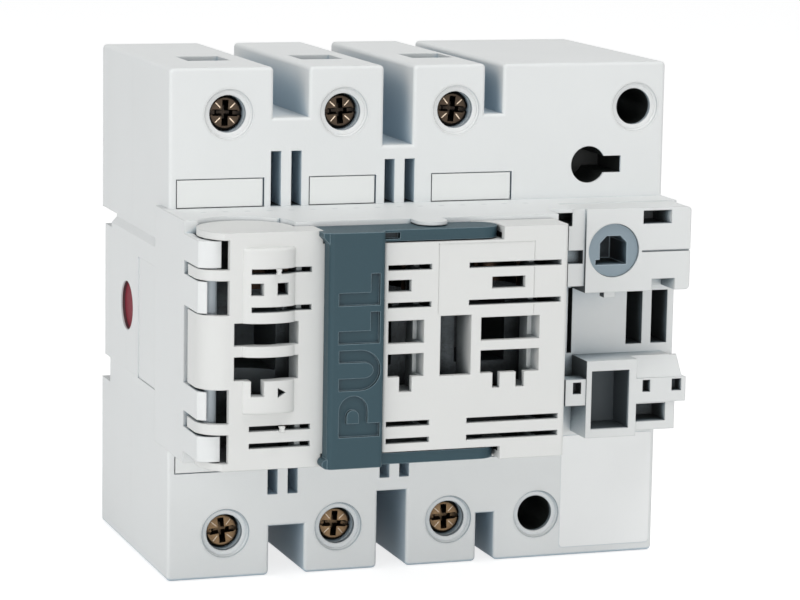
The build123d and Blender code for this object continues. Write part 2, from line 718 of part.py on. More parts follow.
def door_left_end():
    """Round end walls, the cheeks that reach the hinge, and the bar that the hooks hold."""
    y_hinge = out(hinge_out)
    front_y = out(door_left_front_out)
    corner = abs(door_left_edge - flank_x)
    shapes = [rod_z(hinge_bar_radius, hinge_x, y_hinge, -door_half_height, door_half_height)]
    round_end = rod_z(seat_radius, seat_x, out(seat_out), -door_half_height, door_half_height)
    round_end &= block(-beyond, beyond, front_y, out(0), -door_half_height, door_half_height)
    round_end -= block(-beyond, beyond, -beyond, beyond,
                       -door_half_height + door_wall, door_half_height - door_wall)
    shapes.append(round_end)
    outer = block(flank_x, door_left_edge + 1, out(knuckle_back_out), front_y, -band_top, band_top)
    outer = fillet(outer.edges().filter_by(Axis.Z).sort_by(Axis.X)[:2].sort_by(Axis.Y)[:1], corner - 0.4)
    inner = block(flank_x + door_wall, door_left_edge + 2, out(knuckle_back_out) + 1, front_y + door_wall,
                  -beyond, beyond)
    inner = fillet(inner.edges().filter_by(Axis.Z).sort_by(Axis.X)[:2].sort_by(Axis.Y)[:1],
                   corner - 0.4 - door_wall)
    web = block(flank_x + 1, hinge_x, y_hinge - 0.6, y_hinge + 0.6, -band_top, band_top)
    curve = outer - inner + web
    for low, high in ((-knuckle_half_height, knuckle_half_height), (band_bottom, band_top),
                      (-band_top, -band_bottom)):
        shapes.append(curve & block(-beyond, beyond, -beyond, beyond, low, high))
    return fuse(shapes)


def door_windows():
    """Slots and test windows through the front of the door."""
    y0 = out(door_front_out + 2)
    y1 = out(door_left_front_out - door_wall - 1)
    shapes = []
    for x, (left, right) in zip(pole_x, door_slot_ends):
        for low, high in door_slot_rows:
            shapes.append(block(x + left, x + right, y0, y1, low, high))
    for x, windows in zip(pole_x, (door_windows_1, door_windows_2, door_windows_3)):
        for left, right, low, high in windows:
            shapes.append(block(x + left, x + right, y0, y1, low, high))
    arrow = make_face(Polyline(*[(pole_x[0] + across, y1, z) for across, z in door_arrow], close=True))
    shapes.append(extrude(arrow, amount=y1 - y0, dir=(0, -1, 0)))
    return fuse(shapes)


def door_channels():
    """Walls and cradles inside the door that hold each fuse."""
    shapes = []
    y_back = out(bay_rim_out) - door_gap
    for number, x in enumerate(pole_x):
        front = door_left_front_out if number == 0 else door_front_out
        for side in (1, -1):
            inner = x + side * channel_half_width
            if abs(inner - hinge_x) > hook_sweep:
                shapes.append(block(inner, inner + side * channel_wall, y_back, out(front - door_wall + 0.4),
                                    -door_half_height + 1, door_half_height - 1))
        rib_left = max(x - channel_half_width - 0.5, hinge_x + hook_sweep)
        for low in (7.4, -11.4):
            rib = block(rib_left, x + channel_half_width + 0.5, out(fuse_out - 1.5),
                        out(front - door_wall + 0.4), low, low + cradle_thickness)
            shapes.append(rib - rod_z(fuse_radius + 0.1, x, out(fuse_out), low - 1, low + 3))
    inside = block(door_left_edge, door_step_x + 1, y_back, out(door_left_front_out - 0.4), -beyond, beyond)
    inside += block(door_step_x, door_right, y_back, out(door_front_out - 0.4), -beyond, beyond)
    return fuse(shapes) & inside


def handle_recess(clearance):
    """Space that the handle's arms take out of the door's top and bottom edges."""
    cuts = []
    low = handle_half_height - arm_thickness - clearance
    high = door_half_height + 1
    for side in (1, -1):
        cuts.append(block(handle_left - clearance, pivot_x, out(bay_rim_out - 1), out(handle_front_out),
                          side * low, side * high))
        cuts.append(rod_z(arm_half_depth + clearance, pivot_x, out(pivot_out), min(side * low, side * high),
                          max(side * low, side * high)))
        cuts.append(block(pivot_x - 1, pivot_x + arm_half_depth + clearance, out(pivot_out),
                          out(handle_front_out), side * low, side * high))
    return fuse(cuts)


def door_bulge():
    """Rounded swelling of the front over the first fuse."""
    plane = Plane(origin=(pole_x[0], out(door_left_front_out - 0.3), bulge_bottom))
    bulge = extrude(plane * Ellipse(bulge_half_width, bulge_rise + 0.3), amount=bulge_top - bulge_bottom)
    ends = bulge.edges().filter_by(GeomType.ELLIPSE)
    bulge = fillet(ends, 0.6)
    return bulge & block(-beyond, beyond, out(door_left_front_out - 1), out(door_front_out), -beyond, beyond)


def make_door():
    """Fuse door: one moulding with windows, round left end and seats for the handle's pivots."""
    door = door_shell() + door_left_end() + door_channels()
    low = handle_half_height - arm_thickness - door_gap
    for side in (1, -1):
        door += block(handle_left - 2, pivot_x + arm_half_depth + 2, out(bay_rim_out) - door_gap,
                      out(door_left_front_out - door_wall - 0.5), side * (low - door_wall), side * low)
        door += block(door_step_x, pivot_x + arm_half_depth + 2, out(door_left_front_out - 2),
                      out(door_front_out - 1), side * (low - door_wall), side * low)
    door += door_bulge()
    door -= rod_z(fuse_radius + 0.6, pole_x[0], out(fuse_out), bulge_bottom + 1, bulge_top - 1) & block(
        -beyond, beyond, out(fuse_out), out(door_front_out), -beyond, beyond)
    door -= handle_recess(door_gap)
    door -= door_windows()
    for side in (1, -1):
        door -= rod_z(pivot_radius + pivot_clearance, pivot_x, out(pivot_out),
                      side * (low - 3), side * (low + 1))
    return door


def make_handle():
    """Pull handle: a broad bar with two arms that pivot on the door."""
    bar = block(handle_left, handle_right, out(door_left_front_out) - door_gap, out(handle_front_out),
                -handle_half_height, handle_half_height)
    bar = fillet(bar.faces().sort_by(Axis.Y)[0].edges().filter_by(Axis.Z), 1.0)
    y0 = out(door_left_front_out) - door_gap
    flare = make_face(Polyline((handle_left + 0.5, y0, handle_half_height - handle_flare_height),
                               (handle_left + 0.5, y0, handle_half_height),
                               (handle_left - handle_flare, y0, handle_half_height),
                               (handle_left - handle_flare, y0, handle_half_height - handle_flare_height / 3),
                               close=True))
    flare = extrude(flare, amount=handle_front_out - door_left_front_out - door_gap - 0.6, dir=(0, -1, 0))
    stub = rod_y(handle_stub_radius, handle_left, y0, out(handle_front_out - 0.6),
                 handle_stub_radius - handle_half_height)
    shapes = [bar, flare, stub]
    for side in (1, -1):
        z0 = side * (handle_half_height - arm_thickness)
        z1 = side * handle_half_height
        arm = block(handle_left, pivot_x, out(pivot_out) + arm_half_depth,
                    out(pivot_out) - arm_half_depth, z0, z1)
        arm += rod_z(arm_half_depth, pivot_x, out(pivot_out), min(z0, z1), max(z0, z1))
        shapes.append(arm)
        z2 = z0 - side * (pivot_length + door_gap)
        shapes.append(rod_z(pivot_radius, pivot_x, out(pivot_out), min(z2, z0), max(z2, z0)))
    arm_front = out(pivot_out) - arm_half_depth
    notch = block(handle_right + 0.5, handle_right + 4.0, arm_front - 1, arm_front + 1.5,
                  handle_half_height - 2.0, handle_half_height - 0.6)
    return fuse(shapes) - notch


def make_mechanism_plate():
    """Cover over the mechanism, with the bore for the coupling."""
    y_back = out(mechanism_face_out)
    plate = block(plate_step_x, plate_right, out(plate_out), y_back, plate_bottom, plate_top)
    plate += block(plate_left, plate_step_x + 1, out(plate_out - plate_step), y_back,
                   plate_bottom + 1.5, plate_top - 3.9)
    plate += block(roof_right, plate_step_x + 1, out(plate_out - plate_step), y_back,
                   plate_top - 4.0, plate_top)
    plate = fillet(plate.edges().filter_by(Axis.Y).filter_by(
        lambda edge: edge.center().X > plate_right - 0.1), 1.0)
    window_left = coupling_x + 7.1
    window_right = coupling_x + 13.0
    window = upright_prism([(window_left, out(plate_out + 1)), (window_right + 1.4, out(plate_out + 1)),
                            (window_right, out(plate_out - 6)), (window_right, out(mechanism_face_out + 1)),
                            (window_left, out(mechanism_face_out + 1))], plate_top - 3.8, plate_top - 0.7)
    plate -= window
    plate -= block(roof_right - 1, plate_step_x - 0.1, out(plate_out - 1.9), y_back + 1,
                   plate_top - 3.4, plate_top - 0.8)
    plate -= block(coupling_x + coupling_radius + 0.9, plate_right + 1, out(plate_out + 1),
                   out(plate_out - 0.6), coupling_z - 0.6, coupling_z - 0.2)
    plate -= block(plate_left - 1, plate_step_x - 0.4, out(plate_out + 1), out(plate_out - 3.5),
                   coupling_z - 2.9, coupling_z + 0.2)
    plate -= block(coupling_x + 9.6, coupling_x + 15.3, out(plate_out + 1), out(mechanism_face_out + 1.5),
                   plate_bottom - 1, plate_bottom + 2.7)
    plate += block(coupling_x - 2.0, coupling_x + 0.7, out(plate_out - 0.5), out(plate_out - 3),
                   plate_bottom - 1.3, plate_bottom + 0.5)
    plate -= rod_y(coupling_radius + 0.1, coupling_x, out(plate_out + 1), y_back + 1, coupling_z)
    return plate


def make_auxiliary_block():
    """Block under the mechanism face: a deep socket, a clip band on each side and an open foot."""
    y_back = out(mechanism_face_out)
    left = aux_socket_left - aux_frame
    right = aux_socket_right + 0.8
    band_low = -18.7
    band_high = -13.0
    frame = block(left, right + 1.1, out(plate_out), y_back, aux_bottom, aux_top)
    base = block(left, right + 11.0, out(plate_out - 4.5), y_back, aux_bottom + 0.6, aux_top)
    band = block(right, body_half_width - 0.35, out(plate_out), out(plate_out - 5), band_low, band_high)
    for hole_left, hole_right in ((right + 2.6, right + 4.5), (right + 9.9, right + 12.3)):
        band -= block(hole_left, hole_right, out(plate_out + 1), out(plate_out - 3.5),
                      band_low + 2.5, band_high - 0.4)
    foot = block(right, right + 10.9, out(plate_out - 0.4), out(plate_out - 5),
                 aux_bottom + 1.2, band_low + 0.7)
    clip = block(plate_left, left + 0.1, out(plate_out - 0.3), out(plate_out - 5), band_low, band_high + 0.4)
    clip += block(plate_left + 1.0, plate_left + 3.2, out(plate_out - 1.5), y_back,
                  band_low + 1, band_high - 1)
    clip -= block(plate_left + 1.8, plate_left + 3.8, out(plate_out + 1), out(plate_out - 3.5), -16.0, -13.3)
    body = frame + base + band + foot + clip
    slope = make_face(Polyline((right, out(plate_out - 4.6), band_high),
                               (right, out(plate_out - 1.0), band_high),
                               (right, out(plate_out - 4.6), aux_top), close=True))
    body += extrude(slope, amount=12.8, dir=(1, 0, 0))
    body -= block(right + 1.2, right + 8.6, out(plate_out + 1), y_back - 1, aux_bottom + 3.2, band_low - 0.3)
    return body - block(aux_socket_left, aux_socket_right, out(plate_out + 1), y_back + 1,
                        aux_socket_bottom, aux_socket_top)


def make_latch():
    """Spring-loaded rail latch: its nose holds the rail, its tail sticks out at the bottom."""
    y0 = rail_flange + rail_play
    y1 = y0 + latch_thickness
    top = rail_bottom + latch_nose
    plate = block(latch_left, latch_right, y0, y1, -latch_tail, rail_bottom)
    nose = block(latch_left + 3, latch_right - 3, y0, y1, rail_bottom - 1, top)
    nose = chamfer(nose.edges().filter_by(Axis.X).sort_by(Axis.Z)[2:].sort_by(Axis.Y)[1:], 2.0)
    middle = (latch_left + latch_right) / 2
    window = block(middle - latch_spring_radius - 0.5, middle + latch_spring_radius + 0.5, y0 - 1, y1 + 1,
                   latch_window_low, latch_window_low + latch_window_length)
    return plate + nose - window


def make_housing_screw(x, z):
    shank = rod_y(1.4, x, rear_y - 28, rear_y - 8, z)
    head = rod_y(2.7, x, rear_y - 8, rear_y - 5.8, z)
    return shank + head


def save(name, shape):
    """Write one sub-part; a list is a group of separate solids."""
    if isinstance(shape, list):
        solids = [solid for piece in shape for solid in piece.solids()]
        shape = Compound(children=solids)
    export_step(shape, os.path.join("parts", name + ".step"))


os.makedirs("parts", exist_ok=True)
save("rear_housing", make_rear_housing())
save("front_housing", make_front_housing())
for number, (left, right) in enumerate(markers, start=1):
    save("upper_marker_%d" % number, make_marker(left, right, 1))
    save("lower_marker_%d" % number, make_marker(left, right, -1))
for number, x in enumerate(pole_x, start=1):
    save("line_clamp_%d" % number, make_clamp(x, 1))
    save("load_clamp_%d" % number, make_clamp(x, -1))
    save("line_contact_%d" % number, make_line_contact(x))
    save("fuse_contact_%d" % number, make_fuse_contact(x))
    save("load_contact_%d" % number, make_load_contact(x))
    save("moving_contact_%d" % number, make_moving_contact(x))
save("terminal_screws", [make_terminal_screw(x, side) for x in pole_x for side in (1, -1)])
save("housing_screws", [make_housing_screw(x, z) for x, z in housing_screw_places])
save("contact_rotor", make_rotor())
save("coupling", make_coupling())
save("drive_crank", make_drive_crank())
save("yoke", make_yoke())
save("mechanism_plate", make_mechanism_plate())
save("auxiliary_block", make_auxiliary_block())
save("fuse_door", make_door())
save("pull_handle", make_handle())
save("rail_latch", make_latch())
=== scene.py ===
import math

import bmesh
import bpy
from mathutils import Matrix, Vector


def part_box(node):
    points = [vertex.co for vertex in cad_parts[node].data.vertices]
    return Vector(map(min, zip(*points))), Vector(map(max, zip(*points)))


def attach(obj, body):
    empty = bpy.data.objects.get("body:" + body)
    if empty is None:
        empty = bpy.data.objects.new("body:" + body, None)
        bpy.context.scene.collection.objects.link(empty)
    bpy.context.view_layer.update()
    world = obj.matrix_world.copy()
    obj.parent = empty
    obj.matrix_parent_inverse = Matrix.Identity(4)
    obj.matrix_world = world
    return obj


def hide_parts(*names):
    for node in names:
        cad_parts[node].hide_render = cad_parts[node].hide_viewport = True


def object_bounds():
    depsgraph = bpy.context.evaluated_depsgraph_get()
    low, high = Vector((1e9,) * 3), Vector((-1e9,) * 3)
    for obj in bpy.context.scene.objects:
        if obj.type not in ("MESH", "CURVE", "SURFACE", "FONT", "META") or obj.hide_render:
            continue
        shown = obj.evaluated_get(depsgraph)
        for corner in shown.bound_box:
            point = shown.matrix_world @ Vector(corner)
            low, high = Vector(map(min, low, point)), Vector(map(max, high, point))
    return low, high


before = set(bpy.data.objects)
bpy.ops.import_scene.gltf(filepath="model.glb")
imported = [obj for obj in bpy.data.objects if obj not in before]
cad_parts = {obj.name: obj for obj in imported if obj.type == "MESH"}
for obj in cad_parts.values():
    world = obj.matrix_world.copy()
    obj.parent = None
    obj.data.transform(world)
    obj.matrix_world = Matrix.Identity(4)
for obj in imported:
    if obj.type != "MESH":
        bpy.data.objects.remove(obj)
cad_low, cad_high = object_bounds()


# The camera: a long lens from a little above and to the left of the front, as for a catalogue, with a slight
# tilt of the horizon.
camera_place = Vector((-0.2417, -0.7412, 0.1251))
camera_turn = math.radians(-19.03)
camera_drop = math.radians(9.43)
camera_tilt = math.radians(1.0)
look = Vector((-math.sin(camera_turn) * math.cos(camera_drop), math.cos(camera_turn) * math.cos(camera_drop),
               -math.sin(camera_drop)))
camera_data = bpy.data.cameras.new("camera")
camera_data.lens = 144.3
camera_data.sensor_width = 36.0
camera_data.clip_start = 0.01
camera_data.clip_end = 50.0
camera = bpy.data.objects.new("camera", camera_data)
bpy.context.collection.objects.link(camera)
camera.rotation_mode = "QUATERNION"
camera.location = camera_place
upright = look.to_track_quat("-Z", "Y").to_matrix()
camera.rotation_quaternion = (upright @ Matrix.Rotation(camera_tilt, 3, "Z")).to_quaternion()
bpy.context.scene.camera = camera


# The casing: rear and front shells of injection-moulded light grey plastic, screwed together from the back.
# A fine spark-eroded grain, a little unevenness of gloss, soft moulded edges, and painted shade in the hollows.
def painted_shade_ramp(nodes, tones):
    """Painted shade: how a plastic's colour falls off from open faces (white, at 1) into its hollows (at 0)."""
    ramp = nodes.new("ShaderNodeValToRGB")
    stops = ramp.color_ramp.elements
    stops[0].color = (*tones[0][1], 1.0)
    stops[1].color = (1.0, 1.0, 1.0, 1.0)
    for at, colour in tones[1:]:
        stops.new(at).color = (*colour, 1.0)
    return ramp


hollow_shade_tones = ((0.0, (0.03, 0.034, 0.035)), (0.2, (0.07, 0.08, 0.085)), (0.5, (0.38, 0.47, 0.54)),
              (0.8, (0.78, 0.85, 0.9)))


def moulded_plastic(name, colour, rough=0.5, grain=0.12, edge=0.00035, mottle=0.03, lit_from=0.4,
                    tones=hollow_shade_tones, edge_highlight=None):
    """Moulded plastic: even colour with a slight cloudiness, fine grain, softened edges and hollows darkened by
    painted shade.
    """
    material = bpy.data.materials.new(name)
    material.use_nodes = True
    nodes = material.node_tree.nodes
    links = material.node_tree.links
    shader = nodes["Principled BSDF"]
    place = nodes.new("ShaderNodeTexCoord")
    place.name = "place"
    cloud = nodes.new("ShaderNodeTexNoise")
    cloud.inputs["Scale"].default_value = 38.0
    cloud.inputs["Detail"].default_value = 3.0
    links.new(place.outputs["Object"], cloud.inputs["Vector"])
    tint = nodes.new("ShaderNodeMix")
    tint.data_type = "RGBA"
    tint.inputs[6].default_value = (*[c * (1.0 - mottle) for c in colour], 1.0)
    tint.inputs[7].default_value = (*[min(1.0, c * (1.0 + mottle)) for c in colour], 1.0)
    links.new(cloud.outputs["Fac"], tint.inputs[0])
    # The hollows are darkened through the ramp by ambient occlusion: painted shade.
    hollow = nodes.new("ShaderNodeAmbientOcclusion")
    hollow.name = "hollow"
    hollow.samples = 12
    hollow.inputs["Distance"].default_value = 0.03
    shade = nodes.new("ShaderNodeMapRange")
    shade.name = "shade"
    shade.interpolation_type = "SMOOTHSTEP"
    shade.inputs["From Min"].default_value = 0.05
    shade.inputs["From Max"].default_value = lit_from
    links.new(hollow.outputs["AO"], shade.inputs["Value"])
    tone = painted_shade_ramp(nodes, tones)
    links.new(shade.outputs["Result"], tone.inputs[0])
    painted_shade = nodes.new("ShaderNodeMix")
    painted_shade.data_type = "RGBA"
    painted_shade.blend_type = "MULTIPLY"
    painted_shade.inputs[0].default_value = 1.0
    painted_shade.name = "painted_shade"
    links.new(tone.outputs["Color"], painted_shade.inputs[6])
    links.new(tint.outputs[2], painted_shade.inputs[7])
    links.new(painted_shade.outputs[2], shader.inputs["Base Color"])
    speck = nodes.new("ShaderNodeTexNoise")
    speck.inputs["Scale"].default_value = 2600.0
    speck.inputs["Detail"].default_value = 2.0
    links.new(place.outputs["Object"], speck.inputs["Vector"])
    gloss = nodes.new("ShaderNodeMapRange")
    gloss.inputs["To Min"].default_value = rough - 0.07
    gloss.inputs["To Max"].default_value = rough + 0.07
    links.new(speck.outputs["Fac"], gloss.inputs["Value"])
    links.new(gloss.outputs["Result"], shader.inputs["Roughness"])
    soft_edge = nodes.new("ShaderNodeBevel")
    soft_edge.samples = 6
    soft_edge.inputs["Radius"].default_value = edge
    bump = nodes.new("ShaderNodeBump")
    bump.inputs["Strength"].default_value = grain
    bump.inputs["Distance"].default_value = 0.0002
    links.new(speck.outputs["Fac"], bump.inputs["Height"])
    links.new(soft_edge.outputs["Normal"], bump.inputs["Normal"])
    links.new(bump.outputs["Normal"], shader.inputs["Normal"])
    shader.inputs["Specular IOR Level"].default_value = 0.4
    # A paler colour where the bevelled normal turns away from the flat one: a painted highlight along the edges.
    if edge_highlight:
        flat = nodes.new("ShaderNodeNewGeometry")
        turned_edge = nodes.new("ShaderNodeVectorMath")
        turned_edge.operation = "DOT_PRODUCT"
        links.new(soft_edge.outputs["Normal"], turned_edge.inputs[0])
        links.new(flat.outputs["Normal"], turned_edge.inputs[1])
        edge_glint = nodes.new("ShaderNodeMapRange")
        edge_glint.inputs["From Min"].default_value = 0.995
        edge_glint.inputs["From Max"].default_value = 0.9
        links.new(turned_edge.outputs["Value"], edge_glint.inputs["Value"])
        rim = nodes.new("ShaderNodeMix")
        rim.data_type = "RGBA"
        rim.inputs[7].default_value = (*edge_highlight, 1.0)
        links.new(edge_glint.outputs["Result"], rim.inputs[0])
        links.new(painted_shade.outputs[2], rim.inputs[6])
        links.new(rim.outputs[2], shader.inputs["Base Color"])
    return material


def dress(material, *names):
    """Give CAD nodes their material."""
    for name in names:
        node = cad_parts[name]
        node.data.materials.clear()
        node.data.materials.append(material)


def region(material, low, high, radius=None):
    """A mask that is 1 inside a box from low to high, or in a round bore along Y in that box."""
    nodes = material.node_tree.nodes
    links = material.node_tree.links
    place = nodes.new("ShaderNodeTexCoord")
    middle = [(near + far) / 2 for near, far in zip(low, high)]
    away = nodes.new("ShaderNodeVectorMath")
    away.operation = "SUBTRACT"
    away.inputs[1].default_value = middle
    links.new(place.outputs["Object"], away.inputs[0])
    spread = nodes.new("ShaderNodeVectorMath")
    spread.operation = "ABSOLUTE"
    links.new(away.outputs[0], spread.inputs[0])
    parts = nodes.new("ShaderNodeSeparateXYZ")
    links.new(spread.outputs[0], parts.inputs[0])
    inside = None
    for axis in range(3):
        within = nodes.new("ShaderNodeMath")
        within.operation = "LESS_THAN"
        within.inputs[1].default_value = (high[axis] - low[axis]) / 2
        links.new(parts.outputs[axis], within.inputs[0])
        if inside is None:
            inside = within.outputs[0]
        else:
            both = nodes.new("ShaderNodeMath")
            both.operation = "MULTIPLY"
            links.new(inside, both.inputs[0])
            links.new(within.outputs[0], both.inputs[1])
            inside = both.outputs[0]
    if radius:
        flat = nodes.new("ShaderNodeVectorMath")
        flat.operation = "MULTIPLY"
        flat.inputs[1].default_value = (1, 0, 1)
        links.new(away.outputs[0], flat.inputs[0])
        span = nodes.new("ShaderNodeVectorMath")
        span.operation = "LENGTH"
        links.new(flat.outputs[0], span.inputs[0])
        near = nodes.new("ShaderNodeMath")
        near.operation = "LESS_THAN"
        near.inputs[1].default_value = radius
        links.new(span.outputs["Value"], near.inputs[0])
        both = nodes.new("ShaderNodeMath")
        both.operation = "MULTIPLY"
        links.new(inside, both.inputs[0])
        links.new(near.outputs[0], both.inputs[1])
        inside = both.outputs[0]
    return inside


def paint_region(material, mask, colour):
    """Give the colour to the part of a plastic that a mask picks out."""
    nodes = material.node_tree.nodes
    links = material.node_tree.links
    base = nodes["Principled BSDF"].inputs["Base Color"]
    before = base.links[0].from_socket
    pick = nodes.new("ShaderNodeMix")
    pick.data_type = "RGBA"
    pick.inputs[7].default_value = (*colour, 1.0)
    links.new(mask, pick.inputs[0])
    links.new(before, pick.inputs[6])
    links.new(pick.outputs[2], base)


casing_plastic = moulded_plastic("casing_plastic", (0.745, 0.76, 0.757), lit_from=0.5)
casing_nodes = casing_plastic.node_tree.nodes
casing_links = casing_plastic.node_tree.links

# The gaps between the terminal lobes catch more light than the vents of the central block: beyond the block's top
# and foot the painted shade of the hollows falls off along a second, paler ramp.
block_reach = 0.0271
gap_tones = ((0.0, (0.48, 0.6, 0.7)), (0.5, (0.66, 0.77, 0.86)))
gap_tone = painted_shade_ramp(casing_nodes, gap_tones)
casing_links.new(casing_nodes["shade"].outputs["Result"], gap_tone.inputs[0])
gap_pick = casing_nodes.new("ShaderNodeMix")
gap_pick.data_type = "RGBA"
central_band = region(casing_plastic, (-0.1, -0.1, -block_reach), (0.1, 0.1, block_reach))
casing_links.new(central_band, gap_pick.inputs[0])
casing_links.new(gap_tone.outputs["Color"], gap_pick.inputs[6])
casing_links.new(casing_nodes["painted_shade"].inputs[6].links[0].from_socket, gap_pick.inputs[7])
casing_links.new(gap_pick.outputs[2], casing_nodes["painted_shade"].inputs[6])

# The insides of the deep fixing bores and of the keyhole with its notch are painted near-black from their rims
# inwards: painted shade.
lobe_front = -0.0545
bore_rim_y = lobe_front + 0.0006
bore_end_y = -0.025
bore_shade = (0.012, 0.014, 0.013)
bore_side = 0.005
for x, z, bore_radius in ((0.0523, 0.048, 0.0043), (0.03, -0.048, 0.0043), (0.0409, 0.0347, 0.0044)):
    bore = region(casing_plastic, (x - bore_side, bore_rim_y, z - bore_side),
                  (x + bore_side, bore_end_y, z + bore_side), bore_radius)
    paint_region(casing_plastic, bore, bore_shade)
notch = region(casing_plastic, (0.0409, bore_rim_y, 0.0326), (0.0492, bore_end_y, 0.0368))
paint_region(casing_plastic, notch, bore_shade)

# A row of faint sink marks on the top of the central block, over the ribs inside it, drawn as spots of painted shade
# on the flat top.
mark_pitch = 0.0051
sink_row = region(casing_plastic, (-0.058, -0.0615, 0.0268), (0.026, -0.0603, 0.0275))
along = casing_nodes.new("ShaderNodeSeparateXYZ")
casing_links.new(casing_nodes["place"].outputs["Object"], along.inputs[0])
beat = casing_nodes.new("ShaderNodeMath")
beat.operation = "PINGPONG"
beat.inputs[1].default_value = mark_pitch / 2
casing_links.new(along.outputs["X"], beat.inputs[0])
mark = casing_nodes.new("ShaderNodeMapRange")
mark.inputs["From Min"].default_value = 0.0017
mark.inputs["From Max"].default_value = 0.0022
mark.inputs["To Max"].default_value = 0.45
casing_links.new(beat.outputs[0], mark.inputs["Value"])
sink_shade_mask = casing_nodes.new("ShaderNodeMath")
sink_shade_mask.operation = "MULTIPLY"
casing_links.new(sink_row, sink_shade_mask.inputs[0])
casing_links.new(mark.outputs["Result"], sink_shade_mask.inputs[1])
paint_region(casing_plastic, sink_shade_mask.outputs[0], (0.45, 0.48, 0.5))

# The floor of the socket for auxiliary contacts, painted dark: painted shade.
socket_shade = (0.07, 0.085, 0.095)
socket_floor = region(casing_plastic, (0.0357, -0.09, -0.0246), (0.0454, -0.03, -0.0106))
paint_region(casing_plastic, socket_floor, socket_shade)
dress(casing_plastic, "front_housing", "rear_housing", "rail_latch")


# The mouths of the driver holes and the fixing bores: a narrow flat rim a little below the face, set off by a
# fine step, as the mould's core pins leave it.
def turned_ring(shape, radius, y, segments):
    """A ring of corners round the Y axis, or the single corner on the axis where the radius is nothing."""
    if radius == 0.0:
        return [shape.verts.new((0.0, y, 0.0))]
    return [shape.verts.new((radius * math.cos(2 * math.pi * n / segments), y,
                             radius * math.sin(2 * math.pi * n / segments))) for n in range(segments)]


def skin_rings(shape, rings, segments):
    """The faces between each ring of corners and the next one."""
    for near, far in zip(rings, rings[1:]):
        for n in range(segments):
            m = (n + 1) % segments
            if len(near) == 1:
                shape.faces.new((near[0], far[n], far[m]))
            elif len(far) == 1:
                shape.faces.new((near[n], near[m], far[0]))
            else:
                shape.faces.new((near[n], near[m], far[m], far[n]))


def finished_mesh(name, shape):
    """Turn a worked shape into a mesh and let go of the shape."""
    mesh = bpy.data.meshes.new(name)
    shape.to_mesh(mesh)
    shape.free()
    return mesh


def new_piece(name, mesh, material):
    """Stand a finished mesh in the scene, in its material."""
    piece = bpy.data.objects.new(name, mesh)
    bpy.context.collection.objects.link(piece)
    piece.data.materials.clear()
    piece.data.materials.append(material)
    return piece


terminal_places = [(x, z) for x in (-0.046, -0.019, 0.008) for z in (0.048, -0.048)]
fixing_places = [(0.0523, 0.048), (0.03, -0.048)]
rim_profile = [(5.94, 0.0), (5.74, 0.0), (5.7, 0.04), (5.5, 0.85), (5.3, 0.95), (4.5, 0.95), (4.24, 1.15),
               (4.22, 2.3), (5.9, 0.06)]
rim_segments = 64
rim_shape = bmesh.new()
for x, z in terminal_places + fixing_places:
    rings = [turned_ring(rim_shape, radius / 1000, lobe_front + depth / 1000, rim_segments)
             for radius, depth in rim_profile]
    bmesh.ops.translate(rim_shape, verts=[corner for ring in rings for corner in ring], vec=(x, 0, z))
    skin_rings(rim_shape, rings + rings[:1], rim_segments)
bmesh.ops.recalc_face_normals(rim_shape, faces=rim_shape.faces[:])
rim_plastic = moulded_plastic("rim_plastic", (0.765, 0.775, 0.77), lit_from=0.6, edge=0.0001)
hole_rims = new_piece("hole_rims", finished_mesh("hole_rims", rim_shape), rim_plastic)
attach(hole_rims, "housing")


# The six marker plates: thin strips of the same plastic as the casing, a shade lighter and smoother. They snap
# into shallow seats in the fronts of the lobes, next to the central block.
marker_plastic = moulded_plastic("marker_plastic", (0.755, 0.768, 0.757), rough=0.42, grain=0.05)
for number in (1, 2, 3):
    dress(marker_plastic, "upper_marker_%d" % number, "lower_marker_%d" % number)


# The mechanism cover round the coupling, and the auxiliary block under it: two smaller mouldings of the same kind
# of plastic as the casing, a little darker. They clip on to the mechanism face.
cover_plastic = moulded_plastic("cover_plastic", (0.725, 0.74, 0.735), rough=0.46, lit_from=0.5)
aux_low, aux_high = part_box("auxiliary_block")
# The walls of the same socket in the cover are painted dark too: painted shade.
socket_rim = 0.0009
aux_socket = region(cover_plastic, (0.0357, aux_low.y + socket_rim, -0.0246), (0.0454, 0.0, -0.0106))
paint_region(cover_plastic, aux_socket, socket_shade)
dress(cover_plastic, "mechanism_plate", "auxiliary_block")


# The fuse door: one warm white moulding with slots and test windows. It hangs by the bar at its left end, which
# turns in the hooks of the casing.
# The door's slots and windows darken inwards more steeply than the casing: painted shade.
window_shade_tones = ((0.0, (0.06, 0.07, 0.075)), (0.25, (0.42, 0.5, 0.55)), (0.6, (0.8, 0.87, 0.91)))
door_plastic = moulded_plastic("door_plastic", (0.70, 0.705, 0.69), rough=0.45, grain=0.08, lit_from=0.3,
                               tones=window_shade_tones)
# The hinge bar is painted an even pale blue-grey, lighter than its hollow shading would leave it: painted light.
hinge_bar_light = region(door_plastic, (-0.0590, -0.0824, -0.0215), (-0.0558, -0.0790, 0.0215))
paint_region(door_plastic, hinge_bar_light, (0.6, 0.67, 0.72))
dress(door_plastic, "fuse_door")


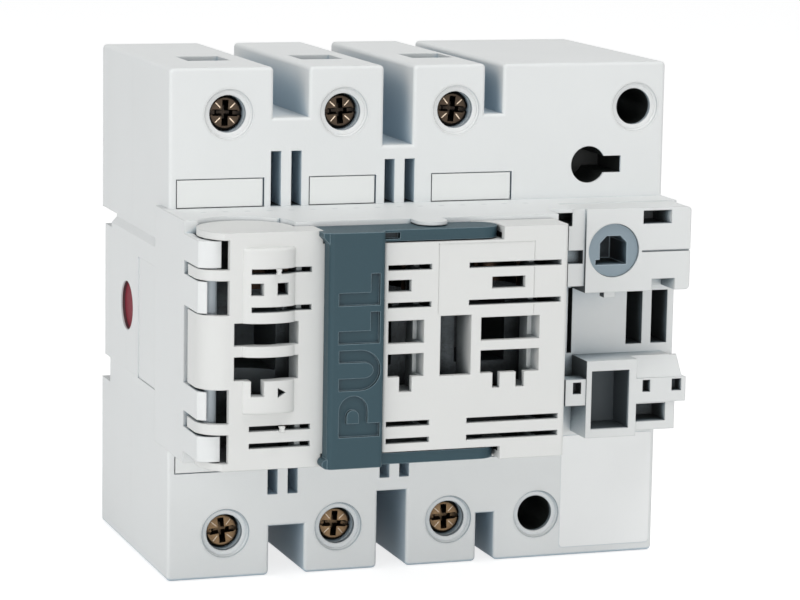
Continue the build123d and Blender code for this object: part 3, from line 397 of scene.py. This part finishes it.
# The pull handle: a blue-grey moulding that pivots on the door, with the word for its use sunk into the bar.
# It is cut out of the handle's own shape, so the letters have real walls.
def outline_prism(points, front, back, hole=None):
    """A prism along Y over an outline of (x, z) points in millimetres, with an optional hole."""
    shape = bmesh.new()
    loops = [points] + ([hole] if hole else [])
    edges = []
    for loop in loops:
        corners = [shape.verts.new((x / 1000, front / 1000, z / 1000)) for x, z in loop]
        edges += [shape.edges.new(pair) for pair in zip(corners, corners[1:] + corners[:1])]
    bmesh.ops.triangle_fill(shape, use_beauty=True, use_dissolve=False, edges=edges)
    made = bmesh.ops.extrude_face_region(shape, geom=shape.faces[:])
    moved = [v for v in made["geom"] if isinstance(v, bmesh.types.BMVert)]
    bmesh.ops.translate(shape, verts=moved, vec=(0, (back - front) / 1000, 0))
    bmesh.ops.recalc_face_normals(shape, faces=shape.faces[:])
    return shape


def gathered_mesh(name, shapes):
    """One mesh out of several worked shapes."""
    whole = bmesh.new()
    for shape in shapes:
        scrap = finished_mesh("scrap", shape)
        whole.from_mesh(scrap)
        bpy.data.meshes.remove(scrap)
    return finished_mesh(name, whole)


def arc(x, z, radius_x, radius_z, start, end, steps=14):
    """Points of an elliptic arc in the front plane."""
    turns = [math.radians(start + (end - start) * n / steps) for n in range(steps + 1)]
    return [(x + radius_x * math.cos(turn), z + radius_z * math.sin(turn)) for turn in turns]


def cut_mesh(mesh, tool_mesh):
    """A copy of mesh with tool_mesh cut out of it."""
    body = bpy.data.objects.new("blank", mesh.copy())
    tool = bpy.data.objects.new("cutter", tool_mesh)
    bpy.context.collection.objects.link(body)
    bpy.context.collection.objects.link(tool)
    cut = body.modifiers.new("cut", "BOOLEAN")
    cut.object = tool
    cut.solver = "EXACT"
    result = bpy.data.meshes.new_from_object(body.evaluated_get(bpy.context.evaluated_depsgraph_get()))
    bpy.data.objects.remove(tool)
    bpy.data.objects.remove(body)
    return result


handle_front = -91.5
letter_depth = 0.9
letter_p = [(-21.8, -19.0), (-31.2, -19.0)] + arc(-27.9, -13.2, 3.3, 3.35, 180, 0)
letter_p += [(-24.6, -16.0), (-21.8, -16.0)]
letter_p_eye = [(-29.4, -16.0)] + arc(-28.0, -14.4, 1.4, 1.4, 180, 0) + [(-26.6, -16.0)]
letter_u = [(-31.3, 0.2), (-26.3, 0.2)] + arc(-26.3, -4.25, 4.5, 4.45, 90, -90) + [(-31.3, -8.7), (-31.3, -6.0)]
letter_u += arc(-25.6, -4.25, 2.2, 1.75, -90, 90) + [(-31.3, -2.5)]
letter_l = [(-31.5, 1.65), (-22.1, 1.65), (-22.1, 8.6), (-24.2, 8.6), (-24.2, 4.45), (-31.5, 4.45)]
letter_l_upper = [(x, z + 8.4) for x, z in letter_l]
letter_cutter = gathered_mesh("letter_cutter", [
    outline_prism(outline, handle_front - 0.5, handle_front + letter_depth, eye)
    for outline, eye in ((letter_p, letter_p_eye), (letter_u, None), (letter_l, None), (letter_l_upper, None))])

handle_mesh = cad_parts["pull_handle"].data.copy()
handle_mesh.transform(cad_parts["pull_handle"].matrix_world)
weld = bmesh.new()
weld.from_mesh(handle_mesh)
bmesh.ops.remove_doubles(weld, verts=weld.verts[:], dist=1e-6)
weld.to_mesh(handle_mesh)
weld.free()

# The handle's edges, the rims of the letters among them, carry a painted highlight.
handle_plastic = moulded_plastic("handle_plastic", (0.018, 0.053, 0.07), rough=0.5, grain=0.2, mottle=0.06,
                                 edge=0.0003, lit_from=0.85, edge_highlight=(0.19, 0.27, 0.31))
shade_reach = 0.0025
handle_plastic.node_tree.nodes["hollow"].inputs["Distance"].default_value = shade_reach
# The walls of the sunk letters are painted near-black: painted shade.
letter_wall_shade = region(handle_plastic, (-0.0317, -0.09138, -0.0193), (-0.0215, -0.09068, 0.0173))
paint_region(handle_plastic, letter_wall_shade, (0.012, 0.024, 0.03))
handle = new_piece("lettered_handle", cut_mesh(handle_mesh, letter_cutter), handle_plastic)
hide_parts("pull_handle")
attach(handle, "handle")


# The contact rotor and its red end, seen through the round opening in the left side: a moulding of dark red
# plastic, the colour that marks the switch's moving part.
rotor_plastic = moulded_plastic("rotor_plastic", (0.2, 0.022, 0.035), rough=0.55, grain=0.1, mottle=0.3)
rotor_plastic.node_tree.nodes["Principled BSDF"].inputs["Specular IOR Level"].default_value = 0.12
dress(rotor_plastic, "contact_rotor")
rotor_low, rotor_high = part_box("contact_rotor")
rotor_axis = (rotor_low + rotor_high) / 2
# Round the rotor's end the casing is painted a dark red-brown: painted shade in the opening.
window_reach = 0.0062
side_window_shade = region(casing_plastic, (-0.0606, rotor_axis.y - 0.0059, rotor_axis.z - window_reach),
                     (-0.054, rotor_axis.y + window_reach, rotor_axis.z + window_reach))
paint_region(casing_plastic, side_window_shade, (0.1, 0.05, 0.055))


# The coupling for the operating shaft: a round moulding of blue-grey glass-filled plastic, smoother than the
# casing, with a painted highlight along its edges. It turns in the bore of the mechanism cover.
coupling_plastic = moulded_plastic("coupling_plastic", (0.25, 0.315, 0.36), rough=0.38, grain=0.15, mottle=0.12,
                                   edge=0.0005, edge_highlight=(0.42, 0.52, 0.58))
dress(coupling_plastic, "coupling")


# The hidden linkage of the mechanism: the drive crank behind the coupling and the yoke that its pin moves, both
# moulded in dark plastic.
linkage_plastic = moulded_plastic("linkage_plastic", (0.035, 0.038, 0.042), rough=0.45)
dress(linkage_plastic, "drive_crank", "yoke")


# Metal parts inside: terminal clamps and casing screws of zinc-plated steel, and contacts of copper strip. Clamps
# and contacts are cut from rolled sheet and bent, so that they keep the sheet's drawing marks.
def stamped_metal(name, colour, rough=0.32, scratch=0.08):
    """Rolled and stamped metal: fine lengthwise drawing marks, patchy gloss and hollows darkened to near-black by
    painted shade.
    """
    material = bpy.data.materials.new(name)
    material.use_nodes = True
    nodes = material.node_tree.nodes
    links = material.node_tree.links
    shader = nodes["Principled BSDF"]
    shader.inputs["Metallic"].default_value = 1.0
    place = nodes.new("ShaderNodeTexCoord")
    stretch = nodes.new("ShaderNodeMapping")
    stretch.inputs["Scale"].default_value = (1.0, 1.0, 0.08)
    links.new(place.outputs["Object"], stretch.inputs["Vector"])
    marks = nodes.new("ShaderNodeTexNoise")
    marks.inputs["Scale"].default_value = 2200.0
    marks.inputs["Detail"].default_value = 3.0
    links.new(stretch.outputs["Vector"], marks.inputs["Vector"])
    patch = nodes.new("ShaderNodeTexNoise")
    patch.inputs["Scale"].default_value = 260.0
    patch.inputs["Detail"].default_value = 4.0
    links.new(place.outputs["Object"], patch.inputs["Vector"])
    tint = nodes.new("ShaderNodeMix")
    tint.data_type = "RGBA"
    tint.inputs[6].default_value = (*[c * 0.7 for c in colour], 1.0)
    tint.inputs[7].default_value = (*[min(1.0, c * 1.15) for c in colour], 1.0)
    links.new(patch.outputs["Fac"], tint.inputs[0])
    # Painted shade: the colour goes to near-black as ambient occlusion falls.
    hollow = nodes.new("ShaderNodeAmbientOcclusion")
    hollow.samples = 6
    hollow.inputs["Distance"].default_value = 0.03
    shade = nodes.new("ShaderNodeMapRange")
    shade.inputs["From Min"].default_value = 0.25
    shade.inputs["From Max"].default_value = 0.7
    shade.inputs["To Min"].default_value = 0.03
    links.new(hollow.outputs["AO"], shade.inputs["Value"])
    painted_shade = nodes.new("ShaderNodeMix")
    painted_shade.data_type = "RGBA"
    painted_shade.inputs[6].default_value = (0.01, 0.01, 0.01, 1.0)
    links.new(shade.outputs["Result"], painted_shade.inputs[0])
    links.new(tint.outputs[2], painted_shade.inputs[7])
    links.new(painted_shade.outputs[2], shader.inputs["Base Color"])
    gloss = nodes.new("ShaderNodeMapRange")
    gloss.inputs["To Min"].default_value = rough - 0.1
    gloss.inputs["To Max"].default_value = rough + 0.14
    links.new(patch.outputs["Fac"], gloss.inputs["Value"])
    links.new(gloss.outputs["Result"], shader.inputs["Roughness"])
    soft_edge = nodes.new("ShaderNodeBevel")
    soft_edge.samples = 4
    soft_edge.inputs["Radius"].default_value = 0.00015
    bump = nodes.new("ShaderNodeBump")
    bump.inputs["Strength"].default_value = scratch
    bump.inputs["Distance"].default_value = 0.0001
    links.new(marks.outputs["Fac"], bump.inputs["Height"])
    links.new(soft_edge.outputs["Normal"], bump.inputs["Normal"])
    links.new(bump.outputs["Normal"], shader.inputs["Normal"])
    return material


plated_steel = stamped_metal("plated_steel", (0.62, 0.62, 0.58))
copper = stamped_metal("copper", (0.85, 0.48, 0.3), rough=0.28)
for number in (1, 2, 3):
    dress(plated_steel, "line_clamp_%d" % number, "load_clamp_%d" % number)
    dress(copper, "line_contact_%d" % number, "load_contact_%d" % number, "fuse_contact_%d" % number,
          "moving_contact_%d" % number)
dress(plated_steel, "housing_screws")


# The six terminal screws: cheese-head M5 screws of bronze-passivated steel with a combined slot and cross.
# Each head stands at its own angle, as a fitter leaves it.
screw_metal = stamped_metal("screw_metal", (0.34, 0.22, 0.12), rough=0.3, scratch=0.12)
# The three upper heads take a darker copy of the same metal: painted shade.
screw_metal_shaded = stamped_metal("screw_metal_shaded", (0.07, 0.05, 0.035), rough=0.34, scratch=0.12)
screw_low, screw_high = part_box("terminal_screws")
head_radius = 0.004
head_edge = 0.0006
head_front = screw_low.y
head_seat = head_front + 0.0028
shank_radius = 0.0025
shank_end = screw_high.y
screw_segments = 48
screw_profile = [(0.0, head_front), (head_radius - head_edge, head_front),
                 (head_radius - 0.00015, head_front + 0.00025), (head_radius, head_front + 0.0007),
                 (head_radius, head_seat), (shank_radius, head_seat), (shank_radius, shank_end - 0.0004),
                 (0.0021, shank_end), (0.0, shank_end)]
turned = bmesh.new()
skin_rings(turned, [turned_ring(turned, radius, y, screw_segments) for radius, y in screw_profile], screw_segments)
bmesh.ops.recalc_face_normals(turned, faces=turned.faces[:])
screw_mesh = finished_mesh("screw", turned)


def recess_cutter(half_length, half_width, depth, taper, turn):
    """A bar with sloping ends across the screw's head, to be cut out of it."""
    shape = bmesh.new()
    corners = []
    for y, shrink in ((head_front - 0.0005, 1.0), (head_front + depth, taper)):
        for side, edge in ((-1, -1), (1, -1), (1, 1), (-1, 1)):
            x, z = side * half_length * shrink, edge * half_width * shrink
            corners.append(shape.verts.new((x * math.cos(turn) - z * math.sin(turn), y,
                                            x * math.sin(turn) + z * math.cos(turn))))
    low, high = corners[:4], corners[4:]
    shape.faces.new(low)
    shape.faces.new(high[::-1])
    for n in range(4):
        m = (n + 1) % 4
        shape.faces.new((low[n], high[n], high[m], low[m]))
    bmesh.ops.recalc_face_normals(shape, faces=shape.faces[:])
    return finished_mesh("recess", shape)


# Half length, half width, depth and taper of each bar of the cross, and of the slot.
cross_bar = (0.0033, 0.0008, 0.0021, 0.45)
screwdriver_slot = (0.0045, 0.00045, 0.0012, 1.0)
for bar, turn in ((cross_bar, 0.0), (cross_bar, math.pi / 2), (screwdriver_slot, 0.0)):
    screw_mesh = cut_mesh(screw_mesh, recess_cutter(*bar, turn))

screw_turns = (2, -6, -3, 4, 5, -2)
for number, ((x, z), turn) in enumerate(zip(terminal_places, screw_turns), start=1):
    mesh = screw_mesh.copy()
    mesh.transform(Matrix.Translation((x, 0, z)) @ Matrix.Rotation(math.radians(turn), 4, "Y"))
    screw = new_piece("terminal_screw_%d" % number, mesh, screw_metal_shaded if z > 0 else screw_metal)
    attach(screw, "housing")
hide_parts("terminal_screws")


# The marks between the arms of each cross: four strokes a few hundredths of a millimetre proud, in a bright metal
# that paints the glint they catch: a painted highlight.
stroke_from, stroke_to, stroke_half_width, stroke_point = 0.0017, 0.0031, 0.00013, 0.0002
stroke_front = head_front - 0.00004
stroke_thickness = 0.0001
tick_shape = bmesh.new()
for (x, z), turn in zip(terminal_places, screw_turns):
    for quarter in range(4):
        angle = math.radians(45 + 90 * quarter - turn)
        along = Vector((math.cos(angle), math.sin(angle)))
        across = Vector((-along.y, along.x)) * stroke_half_width
        outline = (along * stroke_from - across, along * stroke_to - across, along * (stroke_to + stroke_point),
                   along * stroke_to + across, along * stroke_from + across, along * (stroke_from - stroke_point))
        tick_shape.faces.new([tick_shape.verts.new((x + corner.x, stroke_front, z + corner.y)) for corner in outline])
made = bmesh.ops.extrude_face_region(tick_shape, geom=tick_shape.faces[:])
bmesh.ops.translate(tick_shape, verts=[v for v in made["geom"] if isinstance(v, bmesh.types.BMVert)],
                    vec=(0, stroke_thickness, 0))
bmesh.ops.recalc_face_normals(tick_shape, faces=tick_shape.faces[:])
tick_glint_metal = stamped_metal("tick_glint_metal", (0.9, 0.72, 0.55), rough=0.35)
ticks = new_piece("driver_ticks", finished_mesh("driver_ticks", tick_shape), tick_glint_metal)
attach(ticks, "housing")


# The rating label at the lower right: a bare self-adhesive sheet of white film, a tenth of a millimetre thick.
# It lies on the flat front of the casing, its corners rounded so that they don't lift.
label_film = moulded_plastic("label_film", (0.86, 0.87, 0.865), rough=0.3, grain=0.03, edge=0.00005)
label_left, label_right, label_top, label_foot = 36.0, 58.8, -29.5, -56.4
label_corner = 0.8
label_outline = []
for x, z, start in ((label_right - label_corner, label_top - label_corner, 0),
                    (label_left + label_corner, label_top - label_corner, 90),
                    (label_left + label_corner, label_foot + label_corner, 180),
                    (label_right - label_corner, label_foot + label_corner, 270)):
    label_outline += arc(x, z, label_corner, label_corner, start, start + 90, 5)
label = new_piece("bare_label", finished_mesh("bare_label", outline_prism(label_outline, -54.6, -54.5)), label_film)
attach(label, "housing")


# The raised panel line on the front of the door: a hair-thin rib round a plain field, moulded in one with the
# door and broken where the slots run through it.
panel_left, panel_right, panel_top, panel_foot = -8.1, 14.4, 22.7, 7.2
rib = 0.12
rib_front, rib_back = -89.58, -89.45
rib_runs = [(panel_left, panel_right, panel_top - rib, panel_top),
            (panel_left, panel_left + rib, panel_foot, panel_top)]
for low, high in ((18.5, panel_top), (10.2, 16.9), (6.3, 8.6)):
    rib_runs.append((panel_right - rib, panel_right, low, high))
rib_mesh = gathered_mesh("door_panel_rib", [
    outline_prism([(left, low), (right, low), (right, high), (left, high)], rib_front, rib_back)
    for left, right, low, high in rib_runs])
door_rib = new_piece("door_panel_rib", rib_mesh, door_plastic)
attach(door_rib, "door")


# The webs across two slots of the door's left panel: slim waisted bridges where the mould's cores meet, moulded
# in one with the door.
webs = []
for left, right, low, high, front, back in ((-43.9, -42.6, -17.62, -16.38, -89.3, -88.2),
                                            (-45.1, -43.9, 17.08, 18.32, -90.0, -89.0)):
    waist = (right - left) / 5
    middle = (low + high) / 2
    webs.append(outline_prism([(left, low), (right, low), (right - waist, middle), (right, high), (left, high),
                               (left + waist, middle)], front, back))
slot_webs = new_piece("slot_webs", gathered_mesh("slot_webs", webs), door_plastic)
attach(slot_webs, "door")


# The studio: a pale floor that the part stands on, and soft light from a large box above, a broad fill from the
# left and a long low box in front, in an even pale room.
def background_rays(tree):
    """1 for the rays that show the background: straight to the camera, mirrored by a surface or through glass."""
    ray = tree.nodes.new("ShaderNodeLightPath")
    shown = ray.outputs["Is Camera Ray"]
    for kind in ("Is Glossy Ray", "Is Transmission Ray"):
        either = tree.nodes.new("ShaderNodeMath")
        either.operation = "MAXIMUM"
        tree.links.new(shown, either.inputs[0])
        tree.links.new(ray.outputs[kind], either.inputs[1])
        shown = either.outputs[0]
    return shown


floor_reach = 6.0
floor_gap = 0.0002
floor_level = cad_low.z - floor_gap
floor_mesh = bpy.data.meshes.new("floor")
floor_mesh.from_pydata([(-floor_reach, -floor_reach, floor_level), (floor_reach, -floor_reach, floor_level),
                        (floor_reach, floor_reach, floor_level), (-floor_reach, floor_reach, floor_level)],
                       [], [(0, 1, 2, 3)])
floor_paint = bpy.data.materials.new("floor_paint")
floor_paint.use_nodes = True
floor_nodes = floor_paint.node_tree.nodes
floor_links = floor_paint.node_tree.links
floor_shader = floor_nodes["Principled BSDF"]
floor_shader.inputs["Roughness"].default_value = 0.9
floor_shader.inputs["Specular IOR Level"].default_value = 0.1
floor_seen = background_rays(floor_paint.node_tree)
bounce = floor_nodes.new("ShaderNodeMix")
bounce.data_type = "RGBA"
bounce.inputs[6].default_value = (0.95, 0.95, 0.95, 1)
bounce.inputs[7].default_value = (0.45, 0.45, 0.45, 1)
floor_links.new(floor_seen, bounce.inputs[0])
floor_links.new(bounce.outputs[2], floor_shader.inputs["Base Color"])
strength = floor_nodes.new("ShaderNodeMath")
strength.operation = "MULTIPLY"
strength.inputs[1].default_value = 0.78
floor_links.new(floor_seen, strength.inputs[0])
glow = floor_nodes.new("ShaderNodeEmission")
glow.inputs["Color"].default_value = (1, 1, 1, 1)
floor_links.new(strength.outputs[0], glow.inputs["Strength"])
lit_and_glowing = floor_nodes.new("ShaderNodeAddShader")
floor_links.new(floor_shader.outputs[0], lit_and_glowing.inputs[0])
floor_links.new(glow.outputs[0], lit_and_glowing.inputs[1])
floor_links.new(lit_and_glowing.outputs[0], floor_nodes["Material Output"].inputs["Surface"])
floor = new_piece("floor", floor_mesh, floor_paint)

world = bpy.data.worlds.new("studio")
bpy.context.scene.world = world
world.use_nodes = True
room_nodes = world.node_tree.nodes
room_links = world.node_tree.links
room = room_nodes["Background"]
room.inputs["Color"].default_value = (0.97, 0.985, 1.0, 1)
room.inputs["Strength"].default_value = 0.36
white = room_nodes.new("ShaderNodeBackground")
white.inputs["Color"].default_value = (1, 1, 1, 1)
white.inputs["Strength"].default_value = 1.0
choose = room_nodes.new("ShaderNodeMixShader")
room_links.new(background_rays(world.node_tree), choose.inputs[0])
room_links.new(room.outputs[0], choose.inputs[1])
room_links.new(white.outputs[0], choose.inputs[2])
room_links.new(choose.outputs[0], room_nodes["World Output"].inputs["Surface"])


def softbox(name, place, aim, size, power, colour):
    """A rectangular soft light that faces its aim."""
    data = bpy.data.lights.new(name, "AREA")
    data.shape = "RECTANGLE"
    data.size, data.size_y = size
    data.energy = power
    data.color = colour
    light = bpy.data.objects.new(name, data)
    bpy.context.collection.objects.link(light)
    light.location = place
    light.rotation_mode = "QUATERNION"
    light.rotation_quaternion = (Vector(aim) - Vector(place)).to_track_quat("-Z", "Y")


softbox("key", (0.2, -0.45, 1.3), (0, -0.04, 0), (0.8, 0.8), 7.8, (1.0, 0.995, 0.985))
softbox("fill", (-1.1, -0.55, 0.35), (0, -0.04, 0), (1.0, 1.0), 6.2, (0.985, 0.995, 1.0))
softbox("front", (-0.1, -1.5, 0.06), (0, -0.04, -0.03), (1.2, 0.24), 4.8, (1.0, 1.0, 1.0))
bpy.context.scene.view_settings.view_transform = "Standard"
